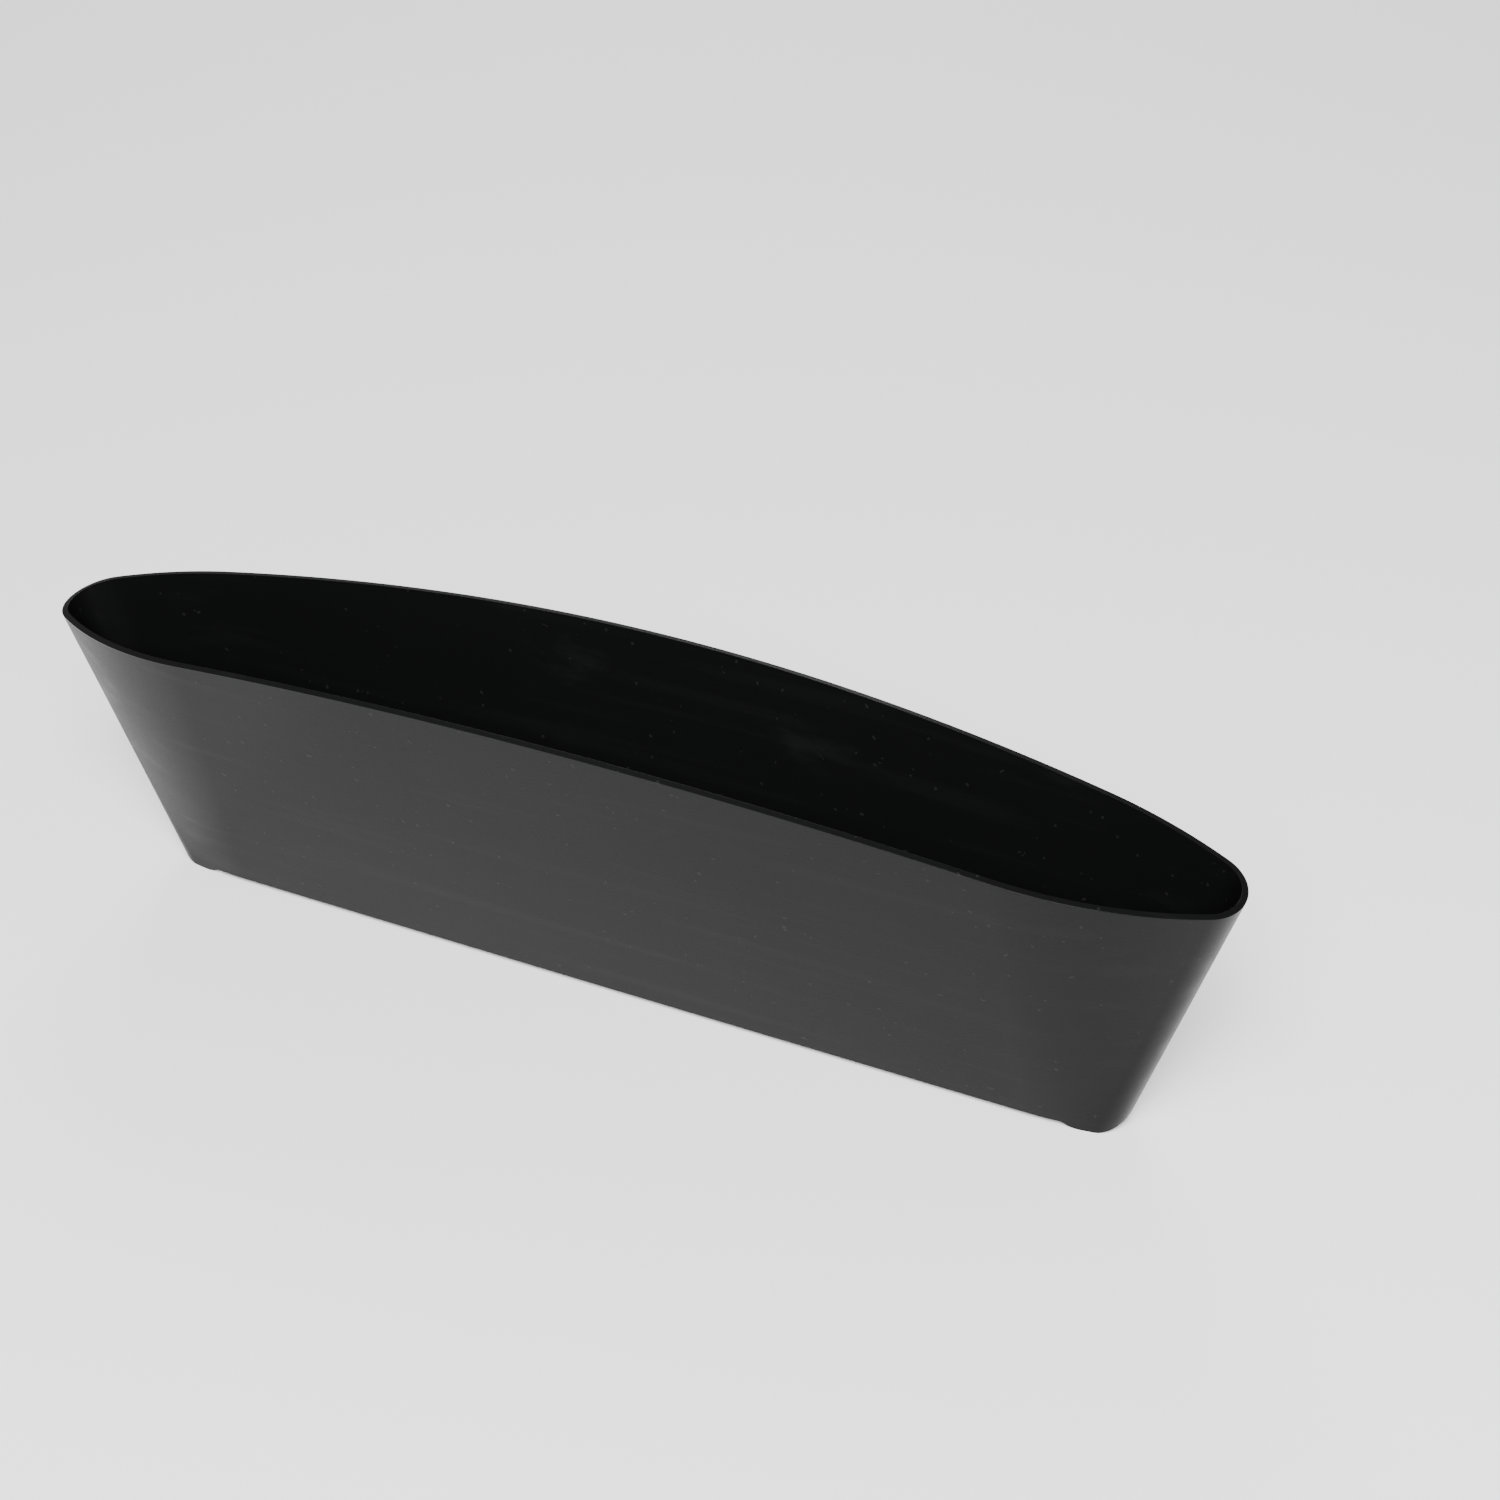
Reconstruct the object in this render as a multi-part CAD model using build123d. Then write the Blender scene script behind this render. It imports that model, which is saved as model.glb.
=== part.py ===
from build123d import *
import math
import os

# An open-topped slim pocket that wedges into the gap beside a car seat.
# One thin-walled moulding: two long walls leaning outwards, rounded at both ends,
# a rim that rises to a crown at mid-length, and a narrow floor on two end feet.
# X runs along the pocket, -Y is the flatter long side, +Y the rounder one, +Z is up.
# The origin is on the ground at mid-length, between the two feet.

# Driving dimensions, in millimetres
rim_length = 365.0
base_length = 312.0
end_height = 90.1
crown_rise = 15.4
wall = 1.8
lip_radius = 0.6
foot_corner_radius = 10.0
foot_length = 6.5
foot_ramp = 2.0
underside_recess = 1.9
base_edge_radius = 0.5

# The walls are lofted between the ground and a level over the crown, then cut to the rim.
# Each long side of a level is a three-centred arch: its end, shoulder and middle radii,
# and how far its middle stands from the centre line.
upper_level = 112.0
ground_side = (7.8, 136.0, 40000.0, 9.4)
upper_flat_side = (14.6, 118.0, 6000.0, 31.8)
upper_round_side = (14.6, 162.0, 1160.0, 31.8)

# Cutting tools reach past the part by this much
margin = 12.0
# and the side view's ends lean a hair more than the walls, so that they never graze them
end_clearance = 0.02
lean = (rim_length - base_length) / 2 / end_height


def arch(half_length, radii, side, inset):
    """Arc ends and middles along one side, from the -X end to the +X end, moved in by the inset."""
    end_radius, shoulder_radius, middle_radius, depth = radii
    end_x = half_length - end_radius
    middle_y = depth - middle_radius
    reach = math.hypot(end_x, middle_y)
    from_middle = middle_radius - shoulder_radius
    from_end = shoulder_radius - end_radius
    along = (from_middle**2 - from_end**2 + reach**2) / (2 * reach)
    aside = math.sqrt(from_middle**2 - along**2)
    # The shoulder's centre lies where it touches the end circle and the middle circle
    shoulder_x = (end_x * along + middle_y * aside) / reach
    shoulder_y = middle_y + (-middle_y * along + end_x * aside) / reach
    end_angle = math.atan2(-shoulder_y, end_x - shoulder_x)
    middle_angle = math.atan2(shoulder_y - middle_y, shoulder_x)

    def on_circle(x, y, radius, angle):
        return x + (radius - inset) * math.cos(angle), side * (y + (radius - inset) * math.sin(angle))

    tip = on_circle(end_x, 0, end_radius, 0)
    end_middle = on_circle(end_x, 0, end_radius, end_angle / 2)
    end_stop = on_circle(end_x, 0, end_radius, end_angle)
    shoulder_angle = (end_angle + middle_angle) / 2
    shoulder_middle = on_circle(shoulder_x, shoulder_y, shoulder_radius, shoulder_angle)
    shoulder_stop = on_circle(shoulder_x, shoulder_y, shoulder_radius, middle_angle)
    right = [tip, end_middle, end_stop, shoulder_middle, shoulder_stop]
    left = [(-x, y) for x, y in right]
    return left + [(0, side * (depth - inset))] + right[::-1]


def level(z, flat_side, round_side, inset):
    """Closed outline of the pocket at one height."""
    half_length = base_length / 2 + lean * z
    out = arch(half_length, flat_side, -1, inset)
    back = arch(half_length, round_side, 1, inset)[::-1]
    points = [(x, y, z) for x, y in out + back[1:]]
    return Wire([ThreePointArc(*points[i : i + 3]) for i in range(0, len(points) - 2, 2)])


def lofted(inset):
    """Solid inside the walls, from the ground to over the crown."""
    ground = level(0, ground_side, ground_side, inset)
    upper = level(upper_level, upper_flat_side, upper_round_side, inset)
    return Part() + Solid.make_loft([ground, upper], True)


def side_view():
    """The pocket from its long side, open upwards: leaning ends and two rounded feet."""
    end_lean = lean + end_clearance
    foot_x = base_length / 2 - foot_corner_radius * (math.hypot(1, end_lean) - end_lean)
    right = [
        (foot_x - foot_length - foot_ramp, underside_recess),
        (foot_x - foot_length, 0),
        (base_length / 2, 0),
        (base_length / 2 + end_lean * upper_level, upper_level),
    ]
    left = [(-x, z) for x, z in reversed(right)]
    face = make_face(Polyline(*left, *right, close=True))
    corners = face.vertices().filter_by(lambda v: abs(v.Y) < 0.01 and abs(v.X) > foot_x)
    return fillet(corners, foot_corner_radius)


def under_crown():
    """Everything under the crowned rim, from the long side."""
    radius = ((rim_length / 2) ** 2 + crown_rise**2) / (2 * crown_rise)
    top = end_height + crown_rise
    far = rim_length / 2 + margin
    far_height = top - radius + math.sqrt(radius**2 - far**2)
    crown = ThreePointArc((-far, far_height), (0, top), (far, far_height))
    sides = Polyline((far, far_height), (far, -margin), (-far, -margin), (-far, far_height))
    return make_face([crown, sides])


def across(face):
    """Stretch a side view right across the pocket."""
    return extrude(Plane.XZ * face, amount=2 * margin + upper_round_side[3], both=True)


def pocket_shell():
    """The whole moulding: outer form less the inside, with its edges rounded."""
    view = side_view()
    outer = lofted(0) & across(view) & across(under_crown())
    base_edges = outer.edges().filter_by(lambda edge: edge.bounding_box().max.Z < foot_corner_radius)
    long_base_edges = base_edges.filter_by(lambda edge: edge.bounding_box().size.X > 0.01)
    outer = fillet(long_base_edges, base_edge_radius)
    inside = lofted(wall) & across(offset(view, -wall, kind=Kind.INTERSECTION))
    shell = outer - inside
    lip_edges = shell.edges().filter_by(lambda edge: edge.bounding_box().min.Z > end_height - wall)
    return fillet(lip_edges, lip_radius)


os.makedirs("parts", exist_ok=True)
shell = pocket_shell()
shell.label = "pocket_shell"
export_step(shell, "parts/pocket_shell.step")
size = shell.bounding_box().size
print(f"pocket {size.X:.1f} x {size.Y:.1f} x {size.Z:.1f} mm, {shell.volume / 1000:.1f} cm3")
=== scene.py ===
import bpy
import bmesh
import math
from mathutils import Matrix, Vector


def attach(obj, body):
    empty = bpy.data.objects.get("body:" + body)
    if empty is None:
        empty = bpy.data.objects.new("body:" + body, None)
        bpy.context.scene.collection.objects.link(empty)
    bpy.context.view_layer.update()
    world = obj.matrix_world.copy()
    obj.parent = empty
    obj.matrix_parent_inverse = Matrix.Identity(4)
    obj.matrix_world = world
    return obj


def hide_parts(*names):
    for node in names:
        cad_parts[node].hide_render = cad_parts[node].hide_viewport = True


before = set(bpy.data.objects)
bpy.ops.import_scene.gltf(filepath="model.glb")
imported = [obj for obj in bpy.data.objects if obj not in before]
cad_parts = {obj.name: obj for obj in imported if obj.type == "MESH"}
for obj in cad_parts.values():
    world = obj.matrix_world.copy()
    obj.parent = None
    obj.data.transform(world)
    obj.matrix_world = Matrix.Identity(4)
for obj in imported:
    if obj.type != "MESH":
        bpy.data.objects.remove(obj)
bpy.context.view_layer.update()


# the pocket's form, in metres
pocket = {
    "halfRim": 0.1825,        # half the rim's length
    "halfBase": 0.156,        # half the base's length
    "endHeight": 0.0901,      # rim height at the two ends
    "crownRise": 0.0154,      # how much higher the rim stands at mid-length
    "wall": 0.0018,
    "rimDrop": 0.0004,        # the lip tilts with the wall, so its outer edge starts lower
    "edgeRadius": 0.0007,     # rounding of the lip and the base edge
    "footRadius": 0.010,       # corner under each end, seen from the long side
    "footLength": 0.0035,     # the flat that it stands on
    "footRamp": 0.005,        # the curve at a foot's inner end
    "recess": 0.0019,         # how far the underside is raised between the feet
    "endClearance": 0.02,     # extra lean that the side view's ends have over the walls
    "upperLevel": 0.112,      # height at which the upper outline is given
    # end, shoulder and middle radii of a side, and how far its middle stands out
    "groundSide": (0.0078, 0.136, 40.0, 0.0094),
    "upperFlatSide": (0.0146, 0.118, 6.0, 0.0318),
    "upperRoundSide": (0.0146, 0.162, 1.16, 0.0318),
    "endSteps": 12,           # faces along each end arc, shoulder arc and middle arc
    "shoulderSteps": 30,
    "middleSteps": 26,
    "cornerSteps": 4,         # faces of an end arc that the base's end edge takes
    "wallSteps": 18,          # faces up the wall
    "settleSteps": 60,        # rounds taken to find where a wall meets a curved height
    "bevelSegments": 4,
    "sharpAngle": 40,         # degrees past which an edge is rounded
}
lean = (pocket["halfRim"] - pocket["halfBase"]) / pocket["endHeight"]
endLean = lean + pocket["endClearance"]
footX = pocket["halfBase"] - pocket["footRadius"] * (math.hypot(1, endLean) - endLean)
crownRadius = (pocket["halfRim"] ** 2 + pocket["crownRise"] ** 2) / (2 * pocket["crownRise"])


def sideArcs(halfLength, radii):
    # centre, radius and angles of a side's end, shoulder and middle arc
    endRadius, shoulderRadius, middleRadius, depth = radii
    endX = halfLength - endRadius
    middleY = depth - middleRadius
    reach = math.hypot(endX, middleY)
    fromMiddle = middleRadius - shoulderRadius
    fromEnd = shoulderRadius - endRadius
    along = (fromMiddle ** 2 - fromEnd ** 2 + reach ** 2) / (2 * reach)
    aside = math.sqrt(fromMiddle ** 2 - along ** 2)
    shoulderX = (endX * along + middleY * aside) / reach
    shoulderY = middleY + (-middleY * along + endX * aside) / reach
    endAngle = math.atan2(-shoulderY, endX - shoulderX)
    middleAngle = math.atan2(shoulderY - middleY, shoulderX)
    return (
        (endX, 0.0, endRadius, 0.0, endAngle),
        (shoulderX, shoulderY, shoulderRadius, endAngle, middleAngle),
        (0.0, middleY, middleRadius, middleAngle, math.pi / 2),
    )


groundArcs = sideArcs(pocket["halfBase"], pocket["groundSide"])
upperHalf = pocket["halfBase"] + lean * pocket["upperLevel"]
upperArcs = {
    -1: sideArcs(upperHalf, pocket["upperFlatSide"]),
    1: sideArcs(upperHalf, pocket["upperRoundSide"]),
}


def arcPoint(arcs, place):
    # place runs from 0 at the tip to 3 at mid-length, one whole number for each arc
    which = min(int(place), 2)
    x, y, radius, start, stop = arcs[which]
    angle = start + (stop - start) * (place - which)
    return x + radius * math.cos(angle), y + radius * math.sin(angle)


def wallPoint(place, endSign, side, z):
    share = z / pocket["upperLevel"]
    groundX, groundY = arcPoint(groundArcs, place)
    upperX, upperY = arcPoint(upperArcs[side], place)
    x = groundX + (upperX - groundX) * share
    y = groundY + (upperY - groundY) * share
    return Vector((endSign * x, side * y, z))


def undersideHeight(x):
    # two feet with a raised stretch between them, rounded up into the ends
    x = abs(x)
    innerEnd = footX - pocket["footLength"]
    if x > footX:
        out = min(x - footX, pocket["footRadius"] * 0.999)
        return pocket["footRadius"] - math.sqrt(pocket["footRadius"] ** 2 - out ** 2)
    ramp = max(0.0, min(1.0, (innerEnd - x) / pocket["footRamp"]))
    return pocket["recess"] * ramp ** 2


def rimHeight(x):
    top = pocket["endHeight"] + pocket["crownRise"] - pocket["rimDrop"]
    return top - crownRadius + math.sqrt(crownRadius ** 2 - x ** 2)


def whereWallMeets(place, endSign, side, heightOf, start):
    z = start
    for attempt in range(pocket["settleSteps"]):
        z = heightOf(wallPoint(place, endSign, side, z).x)
    return wallPoint(place, endSign, side, z)


def borderPlaces():
    # places along one long side of the base grid, from the -X corner to the +X corner
    corner = pocket["cornerSteps"] / pocket["endSteps"]
    sideSteps = pocket["endSteps"] - pocket["cornerSteps"]
    places = [corner + (1 - corner) * i / sideSteps for i in range(sideSteps)]
    places += [1 + i / pocket["shoulderSteps"] for i in range(pocket["shoulderSteps"])]
    places += [2 + i / pocket["middleSteps"] for i in range(pocket["middleSteps"])]
    half = [(place, -1) for place in places]
    return half + [(3.0, 1)] + [(place, 1) for place in reversed(places)]


def newPiece(name, mesh):
    piece = bpy.data.objects.new(name, mesh)
    bpy.context.scene.collection.objects.link(piece)
    return piece


def wallRun(place, endSign, side):
    # where one upright line of the wall starts and ends
    low = whereWallMeets(place, endSign, side, undersideHeight, 0.0)
    high = whereWallMeets(place, endSign, side, rimHeight, pocket["endHeight"])
    return low, high


def shapeUnderside(bm, ringLayer):
    # the grid's border takes the base's outline, its inside lies between the two sides
    sidePlaces = borderPlaces()
    columns = len(sidePlaces) - 1
    rows = 2 * pocket["cornerSteps"]
    grid = bmesh.ops.create_grid(bm, x_segments=columns, y_segments=rows, size=1.0)
    runs = {}
    for vert in grid["verts"]:
        column = round((vert.co.x + 1) / 2 * columns)
        row = round((vert.co.y + 1) / 2 * rows)
        place, endSign = sidePlaces[column]
        run = None
        if row in (0, rows):
            run = wallRun(place, endSign, -1 if row == 0 else 1)
        elif column in (0, columns):
            fromTip = abs(row - rows / 2) / pocket["endSteps"]
            run = wallRun(fromTip, endSign, -1 if row < rows / 2 else 1)
        if run:
            vert.co = run[0]
            vert[ringLayer] = len(runs) + 1
            runs[len(runs) + 1] = run
        else:
            flatLow = wallRun(place, endSign, -1)[0]
            roundLow = wallRun(place, endSign, 1)[0]
            vert.co = flatLow.lerp(roundLow, row / rows)
            vert.co.z = undersideHeight(vert.co.x)
    return runs


def raiseWalls(bm, ringLayer, runs):
    # the walls go up in rings, each an extrusion of the last
    border = [edge for edge in bm.edges if edge.is_boundary]
    for step in range(1, pocket["wallSteps"] + 1):
        grown = bmesh.ops.extrude_edge_only(bm, edges=border)["geom"]
        for vert in (item for item in grown if isinstance(item, bmesh.types.BMVert)):
            low, high = runs[vert[ringLayer]]
            vert.co = low.lerp(high, step / pocket["wallSteps"])
        border = [item for item in grown if isinstance(item, bmesh.types.BMEdge)]


def turnFacesOut(bm):
    bmesh.ops.remove_doubles(bm, verts=bm.verts, dist=1e-7)
    bmesh.ops.recalc_face_normals(bm, faces=bm.faces)
    # an open shell has no inside of its own, so the underside settles which way is out
    lowest = min(bm.faces, key=lambda face: face.calc_center_median().z)
    if lowest.normal.z > 0:
        bmesh.ops.reverse_faces(bm, faces=bm.faces)


def giveThickness(piece):
    thickness = piece.modifiers.new("wall", "SOLIDIFY")
    thickness.thickness = pocket["wall"]
    thickness.offset = -1
    thickness.use_even_offset = True
    edges = piece.modifiers.new("roundedEdges", "BEVEL")
    edges.width = pocket["edgeRadius"]
    edges.segments = pocket["bevelSegments"]
    edges.limit_method = "ANGLE"
    edges.angle_limit = math.radians(pocket["sharpAngle"])
    shading = piece.modifiers.new("evenShading", "WEIGHTED_NORMAL")
    shading.keep_sharp = True


def buildPocketShell():
    bm = bmesh.new()
    ringLayer = bm.verts.layers.int.new("ring")
    runs = shapeUnderside(bm, ringLayer)
    raiseWalls(bm, ringLayer, runs)
    turnFacesOut(bm)
    for face in bm.faces:
        face.smooth = True
    mesh = bpy.data.meshes.new("pocketShell")
    bm.to_mesh(mesh)
    bm.free()
    piece = newPiece("pocketShell", mesh)
    giveThickness(piece)
    return piece


class Knot:
    # a wrapped output socket, so that sums and products read as plain expressions
    def __init__(self, tree, socket):
        self.tree = tree
        self.socket = socket

    def node(self, kind, settings=None, inputs=None, output=0):
        made = self.tree.nodes.new(kind)
        for name, value in (settings or {}).items():
            setattr(made, name, value)
        for name, value in (inputs or {}).items():
            if isinstance(value, Knot):
                self.tree.links.new(value.socket, made.inputs[name])
            else:
                made.inputs[name].default_value = value
        return Knot(self.tree, made.outputs[output])

    def output(self, index):
        # another output of the node that this socket belongs to
        return Knot(self.tree, self.socket.node.outputs[index])

    def maths(self, operation, first, second):
        return self.node("ShaderNodeMath", {"operation": operation}, {0: first, 1: second})

    def __add__(self, other):
        return self.maths("ADD", self, other)

    def __radd__(self, other):
        return self.maths("ADD", other, self)

    def __sub__(self, other):
        return self.maths("SUBTRACT", self, other)

    def __rsub__(self, other):
        return self.maths("SUBTRACT", other, self)

    def __mul__(self, other):
        return self.maths("MULTIPLY", self, other)

    def __rmul__(self, other):
        return self.maths("MULTIPLY", other, self)

    def step(self, low, high):
        # 0 below low, 1 above high, smooth between
        return self.node("ShaderNodeMapRange", {"interpolation_type": "SMOOTHSTEP"},
                         {"Value": self, "From Min": low, "From Max": high})


plastic = {
    "colour": (0.0030, 0.0031, 0.0031, 1),
    "wornColour": (0.018, 0.0185, 0.0185, 1),
    "specular": 0.10,
    "refraction": 1.5,
    "roughness": 0.36,
    "lipRoughness": 0.24,
    "lipBand": (-0.0012, -0.0004),      # heights from the rim between which the lip starts
    # patterns: scale per metre, detail, stretch, roughness
    "cloud": (14.0, 3.0, (1, 1, 1), 0.5),
    "grain": (1500.0, 2.0, (1, 1, 1), 0.5),       # fine texture of the mould
    "drawn": (160.0, 3.0, (0.05, 1, 1), 0.5),     # marks along the length
    "rubbed": (38.0, 5.0, (0.4, 1, 1), 0.62),
    "specks": (420.0, 1.0, (1, 1, 1), 0.5),
    "flow": (9.0, 1.0, (1, 1, 1), 0.5),           # slow unevenness of a long thin moulding
    # pattern values between which a mark fades in
    "drawnEdge": (0.52, 0.72),
    "rubbedEdge": (0.60, 0.74),
    "speckEdge": (0.735, 0.77),
    # how much each pattern changes the roughness, then the wear
    "roughBy": {"cloud": 0.14, "grain": 0.12, "rubbed": 0.05, "drawn": 0.05},
    "wornBy": {"specks": 0.40, "rubbed": 0.14, "drawn": 0.06},
    # heights of the relief, in metres
    "flowHeight": 0.00022,
    "grainHeight": 0.000024,
    "speckHeight": 0.00002,
}


def blackPlastic():
    material = bpy.data.materials.new("satinBlackPlastic")
    material.use_nodes = True
    tree = material.node_tree
    shader = tree.nodes["Principled BSDF"]
    where = Knot(tree, None).node("ShaderNodeTexCoord", output=3)
    x = where.node("ShaderNodeSeparateXYZ", inputs={0: where})
    z = x.output(2)

    def pattern(name):
        scale, detail, stretch, roughness = plastic[name]
        placed = where.node("ShaderNodeMapping", inputs={"Vector": where, "Scale": stretch})
        inputs = {"Vector": placed, "Scale": scale, "Detail": detail, "Roughness": roughness}
        return where.node("ShaderNodeTexNoise", inputs=inputs)

    # the burnished lip follows the crowned rim
    rim = pocket["endHeight"] + pocket["crownRise"] * (1 - x * x * (1 / pocket["halfRim"] ** 2))
    lip = (z - rim).step(*plastic["lipBand"])
    cloud = pattern("cloud")
    grain = pattern("grain")
    drawn = pattern("drawn").step(*plastic["drawnEdge"])
    rubbed = pattern("rubbed").step(*plastic["rubbedEdge"])
    specks = pattern("specks").step(*plastic["speckEdge"])
    by = plastic["roughBy"]
    rough = plastic["roughness"] + (cloud - 0.5) * by["cloud"] + rubbed * by["rubbed"]
    rough = rough - drawn * by["drawn"] + (grain - 0.5) * by["grain"]
    rough = rough * (1 - lip) + lip * plastic["lipRoughness"]
    tree.links.new(rough.socket, shader.inputs["Roughness"])
    by = plastic["wornBy"]
    wear = specks * by["specks"] + rubbed * by["rubbed"] + drawn * by["drawn"]
    # sockets 6 and 7 of a colour Mix are its two colours
    inputs = {"Factor": wear, 6: plastic["colour"], 7: plastic["wornColour"]}
    mixed = where.node("ShaderNodeMix", {"data_type": "RGBA"}, inputs, output=2)
    tree.links.new(mixed.socket, shader.inputs["Base Color"])
    height = pattern("flow") * plastic["flowHeight"] + grain * plastic["grainHeight"]
    height = height + specks * plastic["speckHeight"]
    inputs = {"Height": height, "Distance": 1.0, "Strength": 1.0}
    relief = where.node("ShaderNodeBump", inputs=inputs)
    tree.links.new(relief.socket, shader.inputs["Normal"])
    shader.inputs["Specular IOR Level"].default_value = plastic["specular"]
    shader.inputs["IOR"].default_value = plastic["refraction"]
    return material


shell = buildPocketShell()
shell.data.materials.append(blackPlastic())
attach(shell, "root")
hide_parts("pocket_shell")
print("pocket shell built")


studio = {
    "floorSize": 4.0,
    "floorColour": (0.92, 0.92, 0.92, 1),
    "floorRoughness": 0.9,
    "floorSpecular": 0.1,
    "roomColour": (1.0, 1.0, 1.0, 1),
    "roomStrength": 0.36,
    # place, what it points at, size and power of each soft box
    "topBox": ((0.4, -0.95, 1.4), (0.0, 0.0, 0.05), 1.0, 80.0),
    "sideBox": ((0.9, -0.25, 0.16), (0.17, 0.0, 0.05), 0.35, 1.2),
    "backBox": ((-0.6, 1.3, 1.1), (0.0, 0.0, 0.05), 0.8, 14.0),
}


def layFloor():
    bm = bmesh.new()
    bmesh.ops.create_grid(bm, x_segments=1, y_segments=1, size=studio["floorSize"])
    mesh = bpy.data.meshes.new("floor")
    bm.to_mesh(mesh)
    bm.free()
    floor = newPiece("floor", mesh)
    paper = bpy.data.materials.new("palePaper")
    paper.use_nodes = True
    surface = paper.node_tree.nodes["Principled BSDF"]
    surface.inputs["Base Color"].default_value = studio["floorColour"]
    surface.inputs["Roughness"].default_value = studio["floorRoughness"]
    surface.inputs["Specular IOR Level"].default_value = studio["floorSpecular"]
    floor.data.materials.append(paper)


def hangLight(name):
    place, target, size, power = studio[name]
    light = bpy.data.lights.new(name, "AREA")
    light.shape = "SQUARE"
    light.size = size
    light.energy = power
    lamp = newPiece(name, light)
    lamp.location = place
    lamp.rotation_euler = (Vector(target) - Vector(place)).to_track_quat("-Z", "Y").to_euler()


def lightTheRoom():
    world = bpy.data.worlds.new("softRoom")
    world.use_nodes = True
    background = world.node_tree.nodes["Background"]
    background.inputs["Color"].default_value = studio["roomColour"]
    background.inputs["Strength"].default_value = studio["roomStrength"]
    bpy.context.scene.world = world
    for name in ("topBox", "sideBox", "backBox"):
        hangLight(name)


view = {
    "elevation": 37.71,       # degrees above level, to the right of -Y, and tilt
    "azimuth": 26.24,
    "roll": -2.36,
    "distance": 0.6895,
    "target": (0.0443, 0.0, 0.0975),
    "lens": 61.34,
    "nearest": 0.01,
}


def placeCamera():
    high, turn, roll = (math.radians(view[key]) for key in ("elevation", "azimuth", "roll"))
    back = Vector((math.sin(turn) * math.cos(high), -math.cos(turn) * math.cos(high), math.sin(high)))
    level = Vector((math.cos(turn), math.sin(turn), 0))
    above = back.cross(level)
    right = level * math.cos(roll) + above * math.sin(roll)
    up = above * math.cos(roll) - level * math.sin(roll)
    camera = bpy.data.cameras.new("camera")
    camera.lens = view["lens"]
    camera.clip_start = view["nearest"]
    rig = newPiece("camera", camera)
    place = Vector(view["target"]) + back * view["distance"]
    turned = Matrix((right, up, back)).transposed().to_4x4()
    rig.matrix_world = Matrix.Translation(place) @ turned
    bpy.context.scene.camera = rig


layFloor()
lightTheRoom()
placeCamera()
print("studio and camera set")
